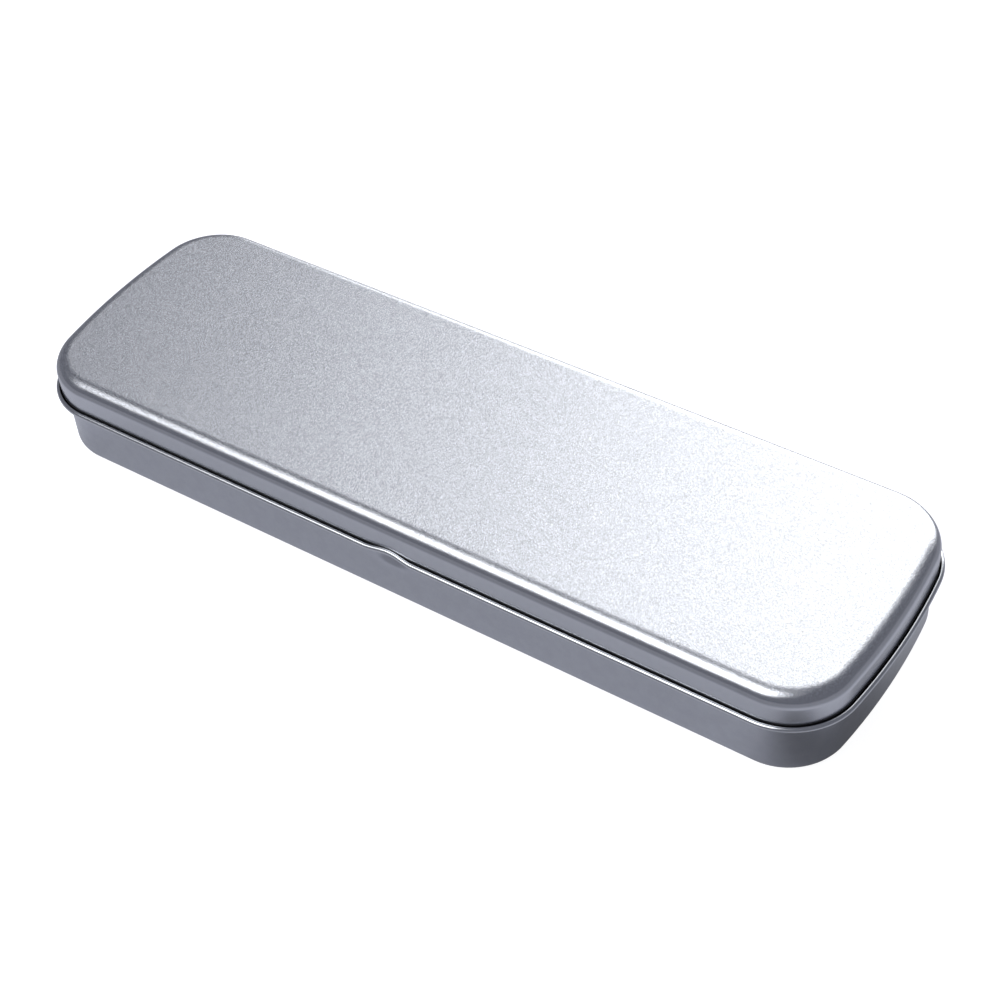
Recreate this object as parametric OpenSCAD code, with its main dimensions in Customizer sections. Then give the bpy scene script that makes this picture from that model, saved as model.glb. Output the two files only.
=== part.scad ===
// Slim hinged pencil tin made of two drawn tinplate shells: a base tray and a lid with a rolled rim.
// X runs along the length, the hinge is at the back (+Y), the thumb notch at the front (-Y), Z is up.
// The origin is on the table, under the middle of the lid.

/* [Overall size] */
// Length over the rolled rim, from the middle of one end to the middle of the other
overall_l = 190; // [160:1:220]
// Width over the rolled rim
overall_w = 60.5; // [54:0.5:80]
// Height from the table to the top of the lid
overall_h = 22; // [18:0.5:32]
// Radius of the corners of the lid, seen from above, met to within a tenth of a millimetre
corner_wish = 13.7; // [10:0.1:18]

/* [Sheet metal] */
// Thickness of the tinplate
sheet_t = 0.25; // [0.2:0.01:0.3]

/* [Lid] */
// Outer radius of the upper edge of the lid
lid_edge_r = 3.2; // [2:0.1:4.5]
// Depth of the lid from its top down to the middle of its rolled rim
lid_depth = 8; // [6.5:0.1:9]
// Outer radius of the rolled rim
rim_r = 0.65; // [0.55:0.01:0.8]

/* [Base] */
// Outer radius of the lower edge of the base
base_edge_r = 2; // [1:0.1:3]
// Outer radius of the roll along the top of the base
base_roll_r = 0.5; // [0.4:0.01:0.6]
// Gap between the inside of the lid and the outside of the base wall
side_gap = 0.7; // [0.6:0.05:1.2]
// Gap between the closed lid and the roll of the base that it rests on
seat_gap = 0.3; // [0.15:0.05:0.4]

/* [Hinge] */
// Distance of each hinge tongue from the middle of the back
hinge_x = 55; // [35:1:60]
// Width of each hinge tongue
tongue_w = 8; // [5:0.5:12]
// Running gap between the rolled rim and the tongue that is curled round it
tongue_gap = 0.08; // [0.05:0.01:0.1]
// Outer radius of the bend where a tongue leaves the base wall
tongue_bend_r = 0.45; // [0.35:0.01:0.5]
// Gap on each side of a tongue in its slot
slot_side_gap = 0.5; // [0.3:0.05:1]
// Gap above a tongue in its slot
slot_head_gap = 0.3; // [0.2:0.05:0.6]

/* [Thumb notch] */
// Width of the stretch of rolled rim that is pressed in
notch_w = 10; // [8:0.5:16]
// Gap that is left between the pressed rim and the side of the lid, at the middle of the notch
notch_gap = 0.06; // [0.03:0.01:0.3]
// How far the ends of the pressed stretch stay behind the roll beside them
notch_step = 0.02; // [0.01:0.01:0.05]
// Width of the shallow dent in the base wall below the notch
dent_w = 14; // [10:0.5:18]
// Height of that dent
dent_h = 7.2; // [5:0.1:8]
// Depth of that dent
dent_d = 0.6; // [0.3:0.05:0.8]
// Depth of the middle of the dent below the middle of the rolled rim
dent_drop = 1; // [0:0.1:2]

/* [Hidden] */
$fn = 96;
tin_colour = [0.76, 0.78, 0.82];
inside_colour = [0.70, 0.72, 0.76];
// How far the rolled rim stands out from the side of the lid
rim_out = 2 * rim_r - sheet_t;
half_l = overall_l / 2 - rim_out;
half_w = overall_w / 2 - rim_out;
// Each short end is a shallow bow that runs into the corners. Its centre and that of a corner lie on a
// slope of 17 in 144, whose length is 145, so that every centre comes out as a short decimal number.
bow = [144, 17, 145];
bow_k = round(100 * (half_w - corner_wish) / bow[1]) / 100;
corner_y = bow[1] * bow_k;
corner_r = half_w - corner_y;
end_r = corner_r + bow[2] * bow_k;
end_x = half_l - end_r;
corner_x = end_x + bow[0] * bow_k;
// Middle of the rolled rim, which is also the hinge axis: its height and its distance from the lid's side
rim_z = overall_h - lid_depth;
rim_c = rim_r - sheet_t;
// Outside of the base wall and middle of its roll, measured inwards from the side of the lid
wall_in = sheet_t + side_gap;
roll_in = wall_in + base_roll_r;
// The roll of the base lies the seat gap under the inside of the lid's edge, or under its top
edge_reach = lid_edge_r - sheet_t - base_roll_r - seat_gap;
roll_under_edge = overall_h - lid_edge_r + sqrt(max(0, pow(edge_reach, 2) - pow(lid_edge_r - roll_in, 2)));
roll_under_top = overall_h - sheet_t - seat_gap - base_roll_r;
roll_z = floor(100 * (roll_in < lid_edge_r ? roll_under_edge : roll_under_top)) / 100;
// Curl of the hinge tongue
tongue_ri = rim_r + tongue_gap;
tongue_ro = tongue_ri + sheet_t;
bend_z = rim_z + tongue_ro - tongue_bend_r;
bend_in = wall_in + sheet_t - tongue_bend_r;
slot_h = tongue_ro + slot_head_gap;
// Radius of the arcs that make the pressed rim's shallow S, and of the two curves of the dent
notch_out = rim_out - notch_step;
notch_d = notch_out - sheet_t - notch_gap;
notch_r = (pow(notch_w / 2, 2) + pow(notch_d, 2)) / (4 * notch_d);
dent_r = (pow(dent_h / 2, 2) + pow(dent_d, 2)) / (2 * dent_d);
dent_l_r = (pow(dent_w / 2, 2) + pow(dent_d, 2)) / (2 * dent_d);

// Three quarters of a rolled sheet edge, or one quarter of a bend, in the profile plane.
// The quadrants to keep are named by the signs of their X and Y.
module rolled(r_out, quadrants) {
    difference() {
        circle(r_out);
        circle(r_out - sheet_t);
        for (sx = [-1, 1], sy = [-1, 1])
            if (len([for (q = quadrants) if (q == [sx, sy]) q]) == 0)
                translate([sx > 0 ? 0 : -2 * r_out, sy > 0 ? 0 : -2 * r_out]) square(2 * r_out);
    }
}

// Upright block over the ground that a corner or an end bow covers, cut along the slope where they meet
module ground(points) {
    translate([0, 0, -1]) linear_extrude(overall_h + 2) polygon(points);
}

// Sweeps a profile round the outline: its X is the distance outwards from the side of the lid
module swept() {
    far = [0.25 * bow[0], 0.25 * bow[1]];
    for (side = [0, 1])
        mirror([0, side, 0])
            translate([-corner_x, half_w, 0])
                rotate([90, 0, 90])
                    linear_extrude(2 * corner_x) children();
    for (end = [0, 1], side = [0, 1])
        mirror([end, 0, 0])
            mirror([0, side, 0])
                translate([corner_x, corner_y, 0])
                    intersection() {
                        rotate_extrude()
                            intersection() {
                                translate([corner_r, 0]) children();
                                translate([0, -1]) square([2 * corner_r, overall_h + 2]);
                            }
                        ground([[0, 0], far, [far[0], 2 * corner_r], [0, 2 * corner_r]]);
                    }
    for (end = [0, 1])
        mirror([end, 0, 0])
            intersection() {
                translate([end_x, 0, 0]) rotate_extrude() translate([end_r, 0]) children();
                ground([
                    [corner_x, -corner_y], [corner_x + far[0], -corner_y - far[1]],
                    [corner_x + far[0], corner_y + far[1]], [corner_x, corner_y],
                    [corner_x - 1, 0]
                ]);
            }
}

// The flat sheet inside the swept edge, up to the centres of the corners
module middle_sheet(z) {
    translate([-corner_x, -corner_y, z]) cube([2 * corner_x, 2 * corner_y, sheet_t]);
    for (end = [0, 1])
        mirror([end, 0, 0])
            intersection() {
                translate([end_x, 0, z]) cylinder(sheet_t, r = end_r - corner_r);
                translate([corner_x, -corner_y, z]) cube([corner_r, 2 * corner_y, sheet_t]);
            }
}

module lid_profile() {
    translate([-corner_r, overall_h - sheet_t]) square([corner_r - lid_edge_r, sheet_t]);
    translate([-lid_edge_r, overall_h - lid_edge_r]) rolled(lid_edge_r, [[1, 1]]);
    translate([-sheet_t, rim_z]) square([sheet_t, lid_depth - lid_edge_r]);
    translate([rim_c, rim_z]) rolled(rim_r, [[-1, -1], [1, -1], [1, 1]]);
}

module base_profile() {
    translate([-corner_r, 0]) square([corner_r - wall_in - base_edge_r, sheet_t]);
    translate([-wall_in - base_edge_r, base_edge_r]) rolled(base_edge_r, [[1, -1]]);
    translate([-wall_in - sheet_t, base_edge_r]) square([sheet_t, roll_z - base_edge_r]);
    translate([-roll_in, roll_z]) rolled(base_roll_r, [[1, 1], [-1, 1], [-1, -1]]);
}

// Bend, strip and curl of a hinge tongue, in the same plane as the profiles
module tongue_profile() {
    translate([-bend_in, bend_z]) rolled(tongue_bend_r, [[-1, 1]]);
    translate([-bend_in, rim_z + tongue_ri]) square([bend_in + rim_c, sheet_t]);
    translate([rim_c, rim_z]) rolled(tongue_ro, [[1, 1], [1, -1], [-1, -1]]);
}

// Plan of the pressed stretch of rim, from the side of the lid out to a shallow S, less an inset
module notch_plan(inset) {
    mid = notch_out - notch_d;
    difference() {
        translate([-notch_w / 4, 0]) square([notch_w / 2, notch_out]);
        translate([0, mid + notch_r]) circle(notch_r + inset);
    }
    for (side = [0, 1])
        mirror([side, 0])
            intersection() {
                translate([notch_w / 4, 0]) square([notch_w / 4, notch_out]);
                translate([notch_w / 2, notch_out - notch_r]) circle(notch_r - inset);
            }
}

// The pressed stretch is a flattened hem: skirt, bottom fold and outer leg
module pressed_rim() {
    mirror([0, 1, 0])
        translate([0, half_w, rim_z - rim_r]) {
            linear_extrude(2 * rim_r)
                difference() {
                    notch_plan(0);
                    notch_plan(sheet_t);
                }
            linear_extrude(sheet_t) notch_plan(0);
            translate([-notch_w / 2, -sheet_t, 0]) cube([notch_w, sheet_t, rim_r]);
        }
}

// A shallow barrel-shaped hollow, pressed into the front wall from outside
module dent_tool(grow) {
    translate([0, -half_w + wall_in + dent_d - dent_r, rim_z - dent_drop])
        rotate([0, 90, 0])
            rotate_extrude()
                intersection() {
                    translate([dent_r - dent_l_r, 0]) circle(dent_l_r + grow);
                    translate([0, -dent_w]) square([dent_r + grow, 2 * dent_w]);
                }
}

module base_tray() {
    color(tin_colour) {
        difference() {
            union() {
                swept() base_profile();
                middle_sheet(0);
            }
            dent_tool(0);
            for (side = [-1, 1])
                translate([side * hinge_x - tongue_w / 2, half_w - roll_in - 2 * base_roll_r, bend_z])
                    cube([tongue_w, 3 * base_roll_r + roll_in, overall_h]);
        }
        intersection() {
            difference() {
                dent_tool(sheet_t);
                dent_tool(0);
            }
            translate([-dent_w, -half_w + wall_in, rim_z - dent_drop - dent_h])
                cube([2 * dent_w, 2 * dent_d + sheet_t, 2 * dent_h]);
        }
        for (side = [-1, 1])
            translate([side * hinge_x - tongue_w / 2, half_w, 0])
                rotate([90, 0, 90])
                    linear_extrude(tongue_w) tongue_profile();
    }
}

module lid() {
    slot_w = tongue_w + 2 * slot_side_gap;
    color(inside_colour) {
        difference() {
            union() {
                swept() lid_profile();
                middle_sheet(overall_h - sheet_t);
            }
            for (side = [-1, 1])
                translate([side * hinge_x - slot_w / 2, half_w - 2 * sheet_t, rim_z])
                    cube([slot_w, 2 * sheet_t + rim_c / 2, slot_h]);
            translate([-notch_w / 2, -half_w - 2 * rim_out, rim_z - 2 * rim_r])
                cube([notch_w, 2 * rim_out, 4 * rim_r]);
            translate([-notch_w / 2, -half_w - rim_out, rim_z - 2 * rim_r])
                cube([notch_w, rim_out + 2 * sheet_t, 2 * rim_r]);
        }
        pressed_rim();
    }
}

base_tray();
lid();
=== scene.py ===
import math
import bmesh
import bpy
from mathutils import Matrix, Vector


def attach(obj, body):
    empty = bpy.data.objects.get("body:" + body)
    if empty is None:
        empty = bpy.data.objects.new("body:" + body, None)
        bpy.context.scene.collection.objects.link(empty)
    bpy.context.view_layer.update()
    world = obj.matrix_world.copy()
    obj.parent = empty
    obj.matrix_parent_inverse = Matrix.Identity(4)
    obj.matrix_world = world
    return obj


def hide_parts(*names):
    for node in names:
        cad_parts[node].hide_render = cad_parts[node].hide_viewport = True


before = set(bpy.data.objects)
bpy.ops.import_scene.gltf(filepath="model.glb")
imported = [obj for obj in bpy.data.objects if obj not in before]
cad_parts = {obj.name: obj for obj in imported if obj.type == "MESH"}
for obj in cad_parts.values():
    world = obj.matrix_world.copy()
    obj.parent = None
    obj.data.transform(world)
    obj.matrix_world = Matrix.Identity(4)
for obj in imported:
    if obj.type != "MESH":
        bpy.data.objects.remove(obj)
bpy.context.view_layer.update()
print("frame loaded")

# Sizes are in millimetres, as on a drawing of the tin, and become metres when a mesh is made
mm = 0.001
plan = dict(halfWidth=29.2, cornerR=13.73, cornerX=79.31, cornerY=15.47, bowR=145.68, bowX=-51.73)
lid = dict(top=22.0, edgeR=3.2, sheet=0.25, rimR=0.65, rimZ=14.0, slotWidth=9.0, slotHeight=1.28)
base = dict(inset=0.95, edgeR=2.0, sheet=0.25, rollR=0.5, rollZ=20.04)
tongue = dict(x=55.0, width=8.0, gap=0.08, bendR=0.45, bendZ=14.53)
notch = dict(width=12.0, lift=0.45, skirtDent=0.2, pinch=0.26, fade=3.2)
dent = dict(width=20.0, height=8.4, depth=1.2, z=12.4)
counts = dict(side=40, press=80, corner=28, bow=16, lidEdge=16, baseEdge=14, roll=18, bend=6, curl=30)
lead = 0.15  # a row of points this far before each bend keeps the flat beside it flat in its shading


def steps(start, end, count):  # evenly spaced values, both ends included
    return [start + (end - start) * k / count for k in range(count + 1)]


def arc(centre, radius, start, end, count):  # points of a bend in a section, angles in degrees
    angles = [math.radians(a) for a in steps(start, end, count)]
    return [(centre[0] + radius * math.cos(a), centre[1] + radius * math.sin(a)) for a in angles]


def bell(t):  # 1 in the middle, 0 from 1 outwards, smooth at both
    return 0.5 + 0.5 * math.cos(math.pi * min(1.0, abs(t)))


# Walks round the tin: a station is a point on the side of the lid and the direction that faces out there
def walkRound():
    stations = []
    pressed = dent["width"] / 2
    slotHalf, tongueHalf = lid["slotWidth"] / 2, tongue["width"] / 2
    acrossSlot = (-slotHalf, -tongueHalf, -tongueHalf / 2, 0, tongueHalf / 2, tongueHalf, slotHalf)
    slotEdges = [side * tongue["x"] + x for side in (-1, 1) for x in acrossSlot]
    coarse = steps(-plan["cornerX"], plan["cornerX"], counts["side"])
    front = sorted([x for x in coarse if abs(x) > pressed + 0.5] + steps(-pressed, pressed, counts["press"]))
    back = sorted([x for x in coarse if abs(abs(x) - tongue["x"]) > slotHalf + 1] + slotEdges)
    meet = math.degrees(math.atan2(plan["cornerY"], plan["cornerX"] - plan["bowX"]))

    def turn(centre, radius, start, end, count):
        for a in steps(math.radians(start), math.radians(end), count)[:-1]:
            out = (math.cos(a), math.sin(a))
            stations.append(((centre[0] + radius * out[0], centre[1] + radius * out[1]), out))

    def corner(sx, sy, start, end):
        turn((sx * plan["cornerX"], sy * plan["cornerY"]), plan["cornerR"], start, end, counts["corner"])

    stations += [((x, -plan["halfWidth"]), (0.0, -1.0)) for x in front[:-1]]
    corner(1, -1, -90, -meet)
    turn((plan["bowX"], 0), plan["bowR"], -meet, meet, counts["bow"])
    corner(1, 1, meet, 90)
    stations += [((x, plan["halfWidth"]), (0.0, 1.0)) for x in reversed(back[1:])]
    corner(-1, 1, 90, 180 - meet)
    turn((-plan["bowX"], 0), plan["bowR"], 180 - meet, 180 + meet, counts["bow"])
    corner(-1, -1, 180 + meet, 270)
    return stations


stations = walkRound()


# A section is a chain of (distance out from the side of the lid, height) along one face of the sheet
def lidSection():
    r, t, top, z0 = lid["edgeR"], lid["sheet"], lid["top"], lid["rimZ"]
    inward = [-12, -8, -4.5, -r - lead]
    heights = [top - r - lead, 17.6, 16.4, z0 + lid["slotHeight"], 14.8, 14.4]
    rollR, chains = lid["rimR"] - t, []
    for depth in (0, t):  # the outside and the inside of the sheet
        chain = [(o, top - depth) for o in inward]
        chain += arc((-r, top - r), r - depth, 90, 0, counts["lidEdge"])
        chain += [(-depth, z) for z in heights]
        chains.append(chain + arc((rollR, z0), rollR + depth, 180, 450, counts["roll"]))
    return chains


def baseSection():
    w, r, t, rollR = base["inset"], base["edgeR"], base["sheet"], base["rollR"]
    inward = [-12, -8, -w - r - lead]
    heights = [r + lead, 4, 6, 8] + steps(9.2, 14.4, 13) + [tongue["bendZ"]]
    heights += steps(14.8, 16.8, 5) + [18, 19.2]
    chains = []
    for depth in (0, t):
        chain = [(o, depth) for o in inward]
        chain += arc((-w - r, r), r - depth, 270, 360, counts["baseEdge"])
        chain += [(-w - depth, z) for z in heights]
        chains.append(chain + arc((-w - rollR, base["rollZ"]), rollR - depth, 0, 270, counts["roll"]))
    return chains


# From the wall's cut edge round the bend, along the strip and round the rim
def tongueSection():
    t, bendR = base["sheet"], tongue["bendR"]
    bend = (-base["inset"] - t + bendR, tongue["bendZ"])
    curl = (lid["rimR"] - lid["sheet"], lid["rimZ"])
    curlR = lid["rimR"] + tongue["gap"]
    under = arc(bend, bendR - t, 180, 90, counts["bend"]) + arc(curl, curlR, 90, -180, counts["curl"])
    over = arc(bend, bendR, 180, 90, counts["bend"]) + arc(curl, curlR + t, 90, -180, counts["curl"])
    return under, over


def pressedRim(x, out, o, z):  # the thumb notch: the rolled rim is pressed up and in against the skirt
    if out != (0.0, -1.0) or abs(x) > notch["width"] / 2:
        return o, z
    press = bell(2 * x / notch["width"])
    near = bell(max(z - lid["rimZ"] - lid["rimR"], 0) / notch["fade"])
    closed = notch["pinch"] * ramp(o, 0.0, lid["rimR"] - lid["sheet"])
    return o - press * (notch["skirtDent"] * near + closed), z + press * notch["lift"] * near


def dentedWall(x, out, o, z):  # the same press leaves a shallow hollow in the wall behind the rim
    if out != (0.0, -1.0):
        return o, z
    press = bell(2 * x / dent["width"]) * bell(2 * (z - dent["z"]) / dent["height"])
    return o - dent["depth"] * press, z


def unpressed(x, out, o, z):
    return o, z


def newMesh(masks):  # a mesh under construction, with one layer of values for each mask
    bm = bmesh.new()
    return bm, [(bm.verts.layers.float.new(label), mask) for label, mask in masks.items()]


def place(build, station, point, shape):
    bm, layers = build
    (x, y), out = station
    o, z = shape(x, out, *point)
    v = bm.verts.new(((x + out[0] * o) * mm, (y + out[1] * o) * mm, z * mm))
    for layer, mask in layers:
        v[layer] = mask(*point)
    return v


# Sweeps both faces of the sheet round the tin. Where opened(i, k) is true, there is a hole from station i and
# point k to the next ones. Material 0 is the outside, 1 the inside and 2 the cut edges.
def sheetMesh(build, sections, shape, opened):
    bm = build[0]

    def face(corners, side):
        bm.faces.new(corners).material_index = side

    rings = [[[place(build, s, p, shape) for p in chain] for s in stations] for chain in sections]
    count, last = len(stations), len(sections[0]) - 1
    for side, ring in enumerate(rings):
        for i in range(count):
            a, b = ring[i], ring[(i + 1) % count]
            for k in range(last):
                if not opened(i, k):
                    face((a[k], b[k], b[k + 1], a[k + 1]), side)
        face([a[0] for a in ring], side)
    front, rear = rings
    for i in range(count):
        j = (i + 1) % count
        if not opened(i, last):
            face((front[i][last], front[j][last], rear[j][last], rear[i][last]), 2)
        for k in range(last):  # the cut edges of each hole
            if opened(i, k) and not opened(i - 1, k):
                face((front[i][k], front[i][k + 1], rear[i][k + 1], rear[i][k]), 2)
            if opened(i, k) and not opened(j, k):
                face((front[j][k], front[j][k + 1], rear[j][k + 1], rear[j][k]), 2)
            if k and opened(i, k) != opened(i, k - 1) and not (opened(i, last) and opened(i, k)):
                face((front[i][k], front[j][k], rear[j][k], rear[i][k]), 2)


def inTongue(i, halfWidth):  # whether the stretch from station i to the next lies in a tongue's width
    a, b = stations[i % len(stations)], stations[(i + 1) % len(stations)]
    if a[1] != (0.0, 1.0) or b[1] != (0.0, 1.0):
        return False
    return abs(abs((a[0][0] + b[0][0]) / 2) - tongue["x"]) < halfWidth


def finishMesh(bm, name):
    weld, sharp = 1e-8, math.radians(34)
    bmesh.ops.remove_doubles(bm, verts=bm.verts, dist=weld)
    bmesh.ops.recalc_face_normals(bm, faces=bm.faces)
    for f in bm.faces:
        f.smooth = True
    for e in bm.edges:
        e.smooth = len(e.link_faces) == 2 and e.calc_face_angle() < sharp
    mesh = bpy.data.meshes.new(name)
    bm.to_mesh(mesh)
    bm.free()
    obj = bpy.data.objects.new(name, mesh)
    bpy.context.scene.collection.objects.link(obj)
    return obj


def ramp(value, low, high):  # 0 at low, 1 at high, smooth at both
    return 1 - bell(max(0.0, (value - low) / (high - low)))


# The masks: rub is where hands and tables rub, drawn is where the dies have ironed the grain out of the
# sheet, and the third marks the open inside of a roll and the groove above it, painted near black as shade
rubbing = dict(crestStart=0.45, crestWidth=0.5, crestHalf=0.8, edgeFade=0.4, edgeMiddle=-1.0, edgeHalf=1.6,
               edgeShare=0.6, foot=2.2, footEnd=0.1)
ironing = dict(lid=(20.2, 21.95), base=(0.3, 2.0))
shadedPocketSizes = dict(lidMargin=0.12, baseMargin=0.1, grooveHalf=0.12, groove=(14.5, 15.3))


def rimCrest(o, z):
    if abs(z - lid["rimZ"]) >= rubbing["crestHalf"]:
        return 0.0
    return min(1.0, max(0.0, (o - rubbing["crestStart"]) / rubbing["crestWidth"]))


def lidRub(o, z):
    r, start = lid["edgeR"], lid["top"] - lid["edgeR"]
    if z <= start:
        return rimCrest(o, z)
    inside = math.hypot(max(0.0, o + r), max(0.0, z - start)) - r
    edge = bell(inside / rubbing["edgeFade"]) * bell((o - rubbing["edgeMiddle"]) / rubbing["edgeHalf"])
    return max(rimCrest(o, z), rubbing["edgeShare"] * edge)


def baseRub(o, z):
    foot = bell(z / rubbing["foot"]) if o > -base["inset"] - base["edgeR"] - rubbing["footEnd"] else 0.0
    return max(foot, rimCrest(o, z))


# Where painted shade darkens the lid: the inside of its roll and a thin strip of the skirt just above the
# roll
def lidShadedPocket(o, z):
    c = lid["rimR"] - lid["sheet"]
    if math.hypot(o - c, z - lid["rimZ"]) < lid["rimR"] - shadedPocketSizes["lidMargin"]:
        return 1.0
    return 1 - ramp(z, *shadedPocketSizes["groove"]) if abs(o) < shadedPocketSizes["grooveHalf"] else 0.0


# Where painted shade darkens the base: the inside of its roll
def baseShadedPocket(o, z):
    away = math.hypot(o + base["inset"] + base["rollR"], z - base["rollZ"])
    return 1.0 if away < base["rollR"] - shadedPocketSizes["baseMargin"] else 0.0


lidMasks = dict(rub=lidRub, drawn=lambda o, z: 1 - ramp(z, *ironing["lid"]), shadedPocket=lidShadedPocket)
baseMasks = dict(rub=baseRub, drawn=lambda o, z: ramp(z, *ironing["base"]), shadedPocket=baseShadedPocket)


def makeLid():
    sections = lidSection()
    top = next(k for k, p in enumerate(sections[0]) if p == (0, lid["rimZ"] + lid["slotHeight"]))
    slot = range(top, top + 3)  # from its head down to the middle of the rim
    build = newMesh(lidMasks)
    sheetMesh(build, sections, pressedRim, lambda i, k: k in slot and inTongue(i, lid["slotWidth"] / 2))
    return finishMesh(build[0], "lidShell")


def addTongue(build, side):
    bm = build[0]
    halfWidth = tongue["width"] / 2 + 0.01
    along = [s for s in stations if s[1] == (0.0, 1.0) and abs(s[0][0] - side * tongue["x"]) < halfWidth]
    under, over = ([[place(build, s, p, unpressed) for p in chain] for s in along]
                   for chain in tongueSection())
    last = len(under[0]) - 1
    for index, ring in enumerate((under, over)):
        for a, b in zip(ring, ring[1:]):
            for k in range(last):
                bm.faces.new((a[k], b[k], b[k + 1], a[k + 1])).material_index = index
    for end in (0, -1):
        a, b = under[end], over[end]
        for k in range(last):
            bm.faces.new((a[k], a[k + 1], b[k + 1], b[k])).material_index = 2
    for i in range(len(along) - 1):
        tip = (under[i][last], under[i + 1][last], over[i + 1][last], over[i][last])
        bm.faces.new(tip).material_index = 2


def makeBase():
    sections = baseSection()
    cut = next(k for k, p in enumerate(sections[0]) if p == (-base["inset"], tongue["bendZ"]))
    build = newMesh(baseMasks)
    sheetMesh(build, sections, dentedWall, lambda i, k: k >= cut and inTongue(i, tongue["width"] / 2))
    for side in (-1, 1):
        addTongue(build, side)
    return finishMesh(build[0], "baseShell")


lidShell = makeLid()
baseShell = makeBase()
for shell, node, body in ((lidShell, "lid", "lid"), (baseShell, "base_tray", "base")):
    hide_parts(node)
    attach(shell, body)
print("shells made")


def addNode(tree, kind, inputs=None, **settings):
    n = tree.nodes.new(kind)
    for key, value in settings.items():
        setattr(n, key, value)
    for key, value in (inputs or {}).items():
        if isinstance(value, bpy.types.NodeSocket):
            tree.links.new(value, n.inputs[key])
        else:
            n.inputs[key].default_value = value
    return n


def math2(tree, operation, a, b=0.0, clamp=False):
    return addNode(tree, "ShaderNodeMath", {0: a, 1: b}, operation=operation, use_clamp=clamp).outputs[0]


def between(tree, value, low, high, toLow=0.0, toHigh=1.0):  # smooth ramp of a value
    return addNode(tree, "ShaderNodeMapRange", {"Value": value, "From Min": low, "From Max": high,
                                                "To Min": toLow, "To Max": toHigh},
                   interpolation_type="SMOOTHSTEP").outputs[0]


def times(tree, vector, factor):
    return addNode(tree, "ShaderNodeVectorMath", {0: vector, "Scale": factor}, operation="SCALE").outputs[0]


def newGroup(name, inputs, outputs):
    tree = bpy.data.node_groups.new(name, "ShaderNodeTree")
    for label, kind, value in inputs:
        socket = tree.interface.new_socket(name=label, in_out="INPUT", socket_type="NodeSocket" + kind)
        if value is not None:
            socket.default_value = value
    for label, kind in outputs:
        tree.interface.new_socket(name=label, in_out="OUTPUT", socket_type="NodeSocket" + kind)
    return tree, addNode(tree, "NodeGroupInput").outputs, addNode(tree, "NodeGroupOutput").inputs


def noise(tree, vector, scale, detail, rough=0.5):
    return addNode(tree, "ShaderNodeTexNoise", {"Vector": vector, "Scale": scale, "Detail": detail,
                                                "Roughness": rough}).outputs["Fac"]


# The frosted grain of satin tinplate: pits a fifth of a millimetre apart, dark ones and bright flecks
def makeGrainGroup():
    tree, into, out = newGroup("satinGrain", [("Vector", "Vector", None), ("Size", "Float", 0.2)],
                               [("Height", "Float"), ("Fleck", "Float"), ("Tone", "Float")])
    perMm = math2(tree, "DIVIDE", 1.0, into["Size"])
    scaled = times(tree, into["Vector"], perMm)
    tree.links.new(noise(tree, scaled, scale=1.0, detail=2.0, rough=0.55), out["Height"])
    cells = addNode(tree, "ShaderNodeTexVoronoi", {"Vector": scaled, "Scale": 1.0}, feature="F1")
    shade = addNode(tree, "ShaderNodeSeparateColor", {0: cells.outputs["Color"]}).outputs[0]
    tree.links.new(math2(tree, "SUBTRACT", shade, 0.5), out["Fleck"])
    tree.links.new(noise(tree, scaled, scale=0.12, detail=3.0, rough=0.55), out["Tone"])
    return tree


# What handling leaves: cloudy patches where the shine differs, and hair-thin scratches along the tin
def makeHandlingGroup():
    tree, into, out = newGroup("handling", [("Vector", "Vector", None), ("Scratches", "Float", 1.0)],
                               [("Haze", "Float"), ("Scratch", "Float")])
    haze = noise(tree, into["Vector"], scale=0.035, detail=3.0, rough=0.5)
    tree.links.new(between(tree, haze, 0.35, 0.7), out["Haze"])
    turned = addNode(tree, "ShaderNodeMapping", {"Vector": into["Vector"], "Rotation": (0, 0, 0.35),
                                                 "Scale": (0.012, 0.55, 0.55)}).outputs[0]
    line = noise(tree, turned, scale=1.0, detail=3.0, rough=0.65)
    thin = between(tree, math2(tree, "ABSOLUTE", math2(tree, "SUBTRACT", line, 0.5)), 0.006, 0.0)
    some = between(tree, noise(tree, into["Vector"], scale=0.06, detail=1.0), 0.52, 0.68)
    here = math2(tree, "MULTIPLY", thin, some)
    tree.links.new(math2(tree, "MULTIPLY", here, into["Scratches"]), out["Scratch"])
    return tree


# Crests that hands and tables have rubbed brighter, broken up so that the wear isn't even
def makeRubGroup():
    tree, into, out = newGroup("crestRub", [("Vector", "Vector", None), ("Mask", "Float", 0.0),
                                            ("Amount", "Float", 1.0)], [("Rub", "Float")])
    patchy = between(tree, noise(tree, into["Vector"], scale=0.5, detail=4.0, rough=0.6), 0.3, 0.75)
    here = math2(tree, "MULTIPLY", patchy, into["Mask"])
    tree.links.new(math2(tree, "MULTIPLY", here, into["Amount"], True), out["Rub"])
    return tree


grainGroup, handlingGroup, rubGroup = makeGrainGroup(), makeHandlingGroup(), makeRubGroup()

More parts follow.
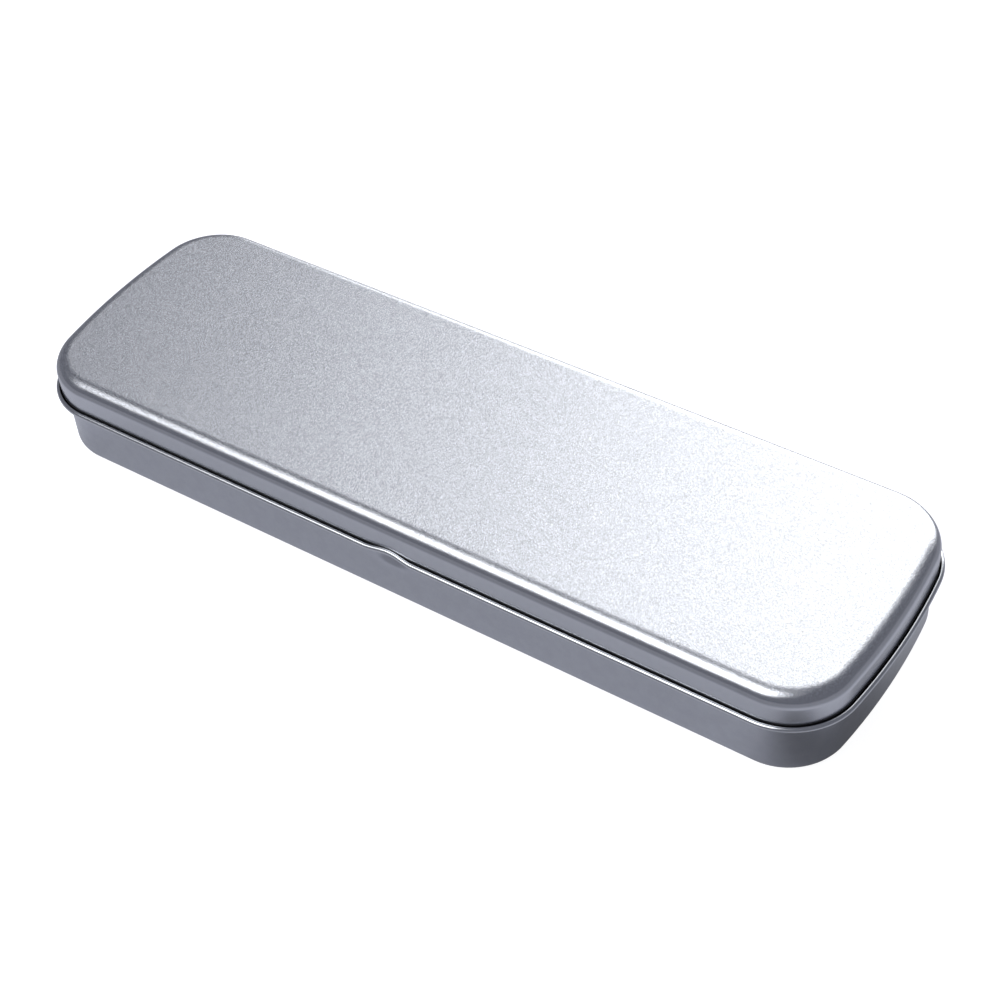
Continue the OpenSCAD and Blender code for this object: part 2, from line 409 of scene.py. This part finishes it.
finishes = dict(
    satinLid=dict(colour=(0.66, 0.68, 0.72), dark=(0.64, 0.66, 0.70), rough=0.25, sideRough=0.17,
                  grainSize=0.17, grainDepth=0.05, sideGrain=0.08, flecks=0.4, scratches=0.15, rub=0.5),
    # The base's metal is a darker copy of the lid's: painted shade for the base's walls
    smoothShadedBase=dict(colour=(0.60, 0.62, 0.665), dark=(0.57, 0.59, 0.635), rough=0.26, sideRough=0.17,
                    grainSize=0.25, grainDepth=0.02, sideGrain=0.2, flecks=0.1, scratches=0.3, rub=0.6),
    plainInside=dict(colour=(0.68, 0.70, 0.73), dark=(0.64, 0.66, 0.69), rough=0.24, sideRough=0.2,
                     grainSize=0.25, grainDepth=0.015, sideGrain=0.5, flecks=0.1, scratches=1.0, rub=0.3),
    cutEdge=dict(colour=(0.70, 0.72, 0.75), dark=(0.52, 0.54, 0.58), rough=0.25, sideRough=0.25,
                 grainSize=0.15, grainDepth=0.01, sideGrain=1.0, flecks=0.2, scratches=0.0, rub=0.0))
# Near-black painted shade for the inside of the rolls and the groove above the lid's rim
paintedShade = dict(colour=(0.035, 0.035, 0.04), rough=0.6)
wear = dict(brighter=1.12, cover=0.7, hazeRough=0.015, rubSmooth=0.04, scratchSmooth=0.08, scratchDepth=0.05)


def mixValue(tree, share, low, high):
    return addNode(tree, "ShaderNodeMix", {"Factor": share, "A": low, "B": high}).outputs["Result"]


def mixColour(tree, share, low, high):
    mix = addNode(tree, "ShaderNodeMix", {"Factor": share, "A": low, "B": high}, data_type="RGBA")
    return mix.outputs["Result"]


def makeTinplate(name, colour, dark, rough, sideRough, grainSize, grainDepth, sideGrain, flecks, scratches,
                 rub):
    material = bpy.data.materials.new(name)
    material.use_nodes = True
    tree = material.node_tree
    tree.nodes.clear()
    where = addNode(tree, "ShaderNodeTexCoord").outputs["Object"]
    vector = times(tree, where, 1000.0)  # in millimetres
    mask, drawn, shadedPocket = (addNode(tree, "ShaderNodeAttribute", attribute_name=label,
                                   attribute_type="GEOMETRY").outputs["Fac"]
                           for label in ("rub", "drawn", "shadedPocket"))
    grain, handling, worn = (addNode(tree, "ShaderNodeGroup", node_tree=group)
                             for group in (grainGroup, handlingGroup, rubGroup))
    for group in (grain, handling, worn):
        tree.links.new(vector, group.inputs["Vector"])
    grain.inputs["Size"].default_value = grainSize
    handling.inputs["Scratches"].default_value = scratches
    worn.inputs["Amount"].default_value = rub
    tree.links.new(mask, worn.inputs["Mask"])
    grainLeft = mixValue(tree, drawn, 1.0, sideGrain)

    tone = mixColour(tree, between(tree, grain.outputs["Tone"], 0.3, 0.7), (*dark, 1), (*colour, 1))
    speck = math2(tree, "MULTIPLY", math2(tree, "MULTIPLY", grain.outputs["Fleck"], grainLeft), flecks)
    speckled = times(tree, tone, math2(tree, "ADD", speck, 1.0))
    bright = tuple(min(1.0, c * wear["brighter"]) for c in colour)
    cover = math2(tree, "MULTIPLY", worn.outputs["Rub"], wear["cover"])
    rubbed = mixColour(tree, cover, speckled, (*bright, 1))
    # Painted shade: the insides of the rolls and the groove turn near black and duller
    finalColour = mixColour(tree, shadedPocket, rubbed, (*paintedShade["colour"], 1))

    roughness = mixValue(tree, drawn, rough, sideRough)
    for operation, value, share in (("ADD", handling.outputs["Haze"], wear["hazeRough"]),
                                    ("SUBTRACT", worn.outputs["Rub"], wear["rubSmooth"]),
                                    ("SUBTRACT", handling.outputs["Scratch"], wear["scratchSmooth"])):
        roughness = math2(tree, operation, roughness, math2(tree, "MULTIPLY", value, share))
    roughness = mixValue(tree, shadedPocket, roughness, paintedShade["rough"])
    height = math2(tree, "SUBTRACT", math2(tree, "MULTIPLY", grain.outputs["Height"], grainLeft),
                   math2(tree, "MULTIPLY", handling.outputs["Scratch"], wear["scratchDepth"]))
    bump = addNode(tree, "ShaderNodeBump", {"Height": height, "Distance": grainDepth * mm, "Strength": 1.0})
    metal = addNode(tree, "ShaderNodeBsdfPrincipled", {
        "Base Color": finalColour, "Metallic": 1.0, "Roughness": roughness, "Normal": bump.outputs["Normal"]})
    addNode(tree, "ShaderNodeOutputMaterial", {"Surface": metal.outputs[0]})
    return material


metals = {name: makeTinplate(name, **settings) for name, settings in finishes.items()}
for shell, names in ((lidShell, ("satinLid", "plainInside", "cutEdge")),
                     (baseShell, ("smoothShadedBase", "plainInside", "cutEdge"))):
    for name in names:
        shell.data.materials.append(metals[name])
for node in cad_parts.values():  # the hidden solids carry the same metal
    node.data.materials.clear()
    node.data.materials.append(metals["smoothShadedBase"])
print("finishes made")


room = dict(floorSize=6.0, floorZ=-0.00002, coolTint=(0.945, 0.965, 1.12), skyLevel=0.18,
            tinHalf=(0.09, 0.03), paper=0.415, table=0.24, paperEdge=(0.022, 0.044),
            shadeMiddle=(0.13, -0.03, 0), shadeReach=(0.036, 0.058), shadeDepth=(0.008, 0.016),
            shadeLevel=0.34, cameraTopUp=0.95, mirrorTopUp=0.45)
# Soft lights as directions: azimuth 0 is behind the tin and 90 to its right, full and spread are angles from
# the middle, where the light starts to fade and where it has gone
lights = dict(
    highBack=dict(azimuth=-20, elevation=54, full=5, spread=25, level=1.83),
    lowBack=dict(azimuth=-7, elevation=12, full=13, spread=28, level=4.7),
    front=dict(azimuth=201, elevation=52, full=7, spread=26, level=3.7))


# How much the floor glows: cameraShare where the camera sees it, mirrorShare where the metal mirrors it
def lightPathSum(tree, cameraShare, mirrorShare):
    path = addNode(tree, "ShaderNodeLightPath").outputs
    mirrored = math2(tree, "MAXIMUM", path["Is Glossy Ray"], path["Is Transmission Ray"])
    return math2(tree, "ADD", math2(tree, "MULTIPLY", path["Is Camera Ray"], cameraShare),
                 math2(tree, "MULTIPLY", mirrored, mirrorShare))


# Under the tin lies pale paper on a darker table, and a little shade hugs the tin's front right corner
def makeFloorTone(tree):
    where = addNode(tree, "ShaderNodeTexCoord").outputs["Object"]
    axes = addNode(tree, "ShaderNodeSeparateXYZ", {0: where}).outputs
    past = [math2(tree, "MAXIMUM", math2(tree, "SUBTRACT", math2(tree, "ABSOLUTE", axis), half), 0.0)
            for axis, half in zip(axes, room["tinHalf"])]
    reach = math2(tree, "SQRT", math2(tree, "ADD", math2(tree, "MULTIPLY", past[0], past[0]),
                                      math2(tree, "MULTIPLY", past[1], past[1])))
    tone = between(tree, reach, *room["paperEdge"], room["paper"], room["table"])
    away = addNode(tree, "ShaderNodeVectorMath", {0: where, 1: room["shadeMiddle"]}, operation="DISTANCE")
    atCorner = between(tree, away.outputs["Value"], *room["shadeReach"], 1.0, 0.0)
    close = between(tree, reach, *room["shadeDepth"], 1.0, 0.0)
    shade = mixValue(tree, math2(tree, "MULTIPLY", atCorner, close), 1.0, room["shadeLevel"])
    return math2(tree, "MULTIPLY", tone, shade)


def makeFloor():
    bm = bmesh.new()
    bmesh.ops.create_grid(bm, x_segments=8, y_segments=8, size=room["floorSize"] / 2)
    mesh = bpy.data.meshes.new("floor")
    bm.to_mesh(mesh)
    bm.free()
    floor = bpy.data.objects.new("floor", mesh)
    floor.location.z = room["floorZ"]
    bpy.context.scene.collection.objects.link(floor)
    material = bpy.data.materials.new("paper")
    material.use_nodes = True
    tree = material.node_tree
    tree.nodes.clear()
    tone = makeFloorTone(tree)
    paper = addNode(tree, "ShaderNodeBsdfDiffuse", {"Color": times(tree, room["coolTint"], tone)})
    topUp = lightPathSum(tree, room["cameraTopUp"], math2(tree, "MULTIPLY", tone, room["mirrorTopUp"]))
    glow = addNode(tree, "ShaderNodeEmission", {"Strength": topUp})
    both = addNode(tree, "ShaderNodeAddShader", {0: paper.outputs[0], 1: glow.outputs[0]})
    addNode(tree, "ShaderNodeOutputMaterial", {"Surface": both.outputs[0]})
    mesh.materials.append(material)


def makeWorld():
    world = bpy.data.worlds.new("studio")
    bpy.context.scene.world = world
    world.use_nodes = True
    tree = world.node_tree
    tree.nodes.clear()
    direction = addNode(tree, "ShaderNodeTexCoord").outputs["Generated"]
    level = 0.0
    for light in lights.values():
        a, e = math.radians(light["azimuth"]), math.radians(light["elevation"])
        middle = (math.sin(a) * math.cos(e), math.cos(a) * math.cos(e), math.sin(e))
        along = addNode(tree, "ShaderNodeVectorMath", {0: direction, 1: middle}, operation="DOT_PRODUCT")
        gone, full = (math.cos(math.radians(light[key])) for key in ("spread", "full"))
        lobe = between(tree, along.outputs["Value"], gone, full, 0.0, light["level"])
        level = math2(tree, "ADD", level, lobe)
    isCamera = addNode(tree, "ShaderNodeLightPath").outputs["Is Camera Ray"]
    lit = addNode(tree, "ShaderNodeBackground", {"Color": (1, 1, 1, 1),
                                                 "Strength": mixValue(tree, isCamera, level, 1.0)})
    dim = addNode(tree, "ShaderNodeBackground", {"Color": (*room["coolTint"], 1),
                                                 "Strength": mixValue(tree, isCamera, room["skyLevel"], 0.0)})
    both = addNode(tree, "ShaderNodeAddShader", {0: lit.outputs[0], 1: dim.outputs[0]})
    addNode(tree, "ShaderNodeOutputWorld", {"Surface": both.outputs[0]})


makeFloor()
makeWorld()

# The view of the photo, found from the outline of the tin
shot = dict(azimuth=37.03, elevation=45.19, roll=-4.90, distance=0.42682, target=(0.00205, 0.00504, 0),
            lens=74.184)


def makeCamera():
    a, e, roll = (math.radians(shot[key]) for key in ("azimuth", "elevation", "roll"))
    back = Vector((math.sin(a) * math.cos(e), -math.cos(a) * math.cos(e), math.sin(e)))
    right = (-back).cross(Vector((0, 0, 1))).normalized()
    up = right.cross(-back)
    sideways = math.cos(roll) * right + math.sin(roll) * up
    upwards = -math.sin(roll) * right + math.cos(roll) * up
    camera = bpy.data.objects.new("camera", bpy.data.cameras.new("camera"))
    camera.data.lens = shot["lens"]
    camera.data.sensor_width = 36
    camera.data.clip_start, camera.data.clip_end = 0.01, 20  # metres
    turn = Matrix((sideways, upwards, back)).transposed()
    camera.matrix_world = Matrix.Translation(Vector(shot["target"]) + back * shot["distance"]) @ turn.to_4x4()
    bpy.context.scene.collection.objects.link(camera)
    bpy.context.scene.camera = camera


makeCamera()
bpy.context.scene.view_settings.view_transform = "Standard"
print("studio made")
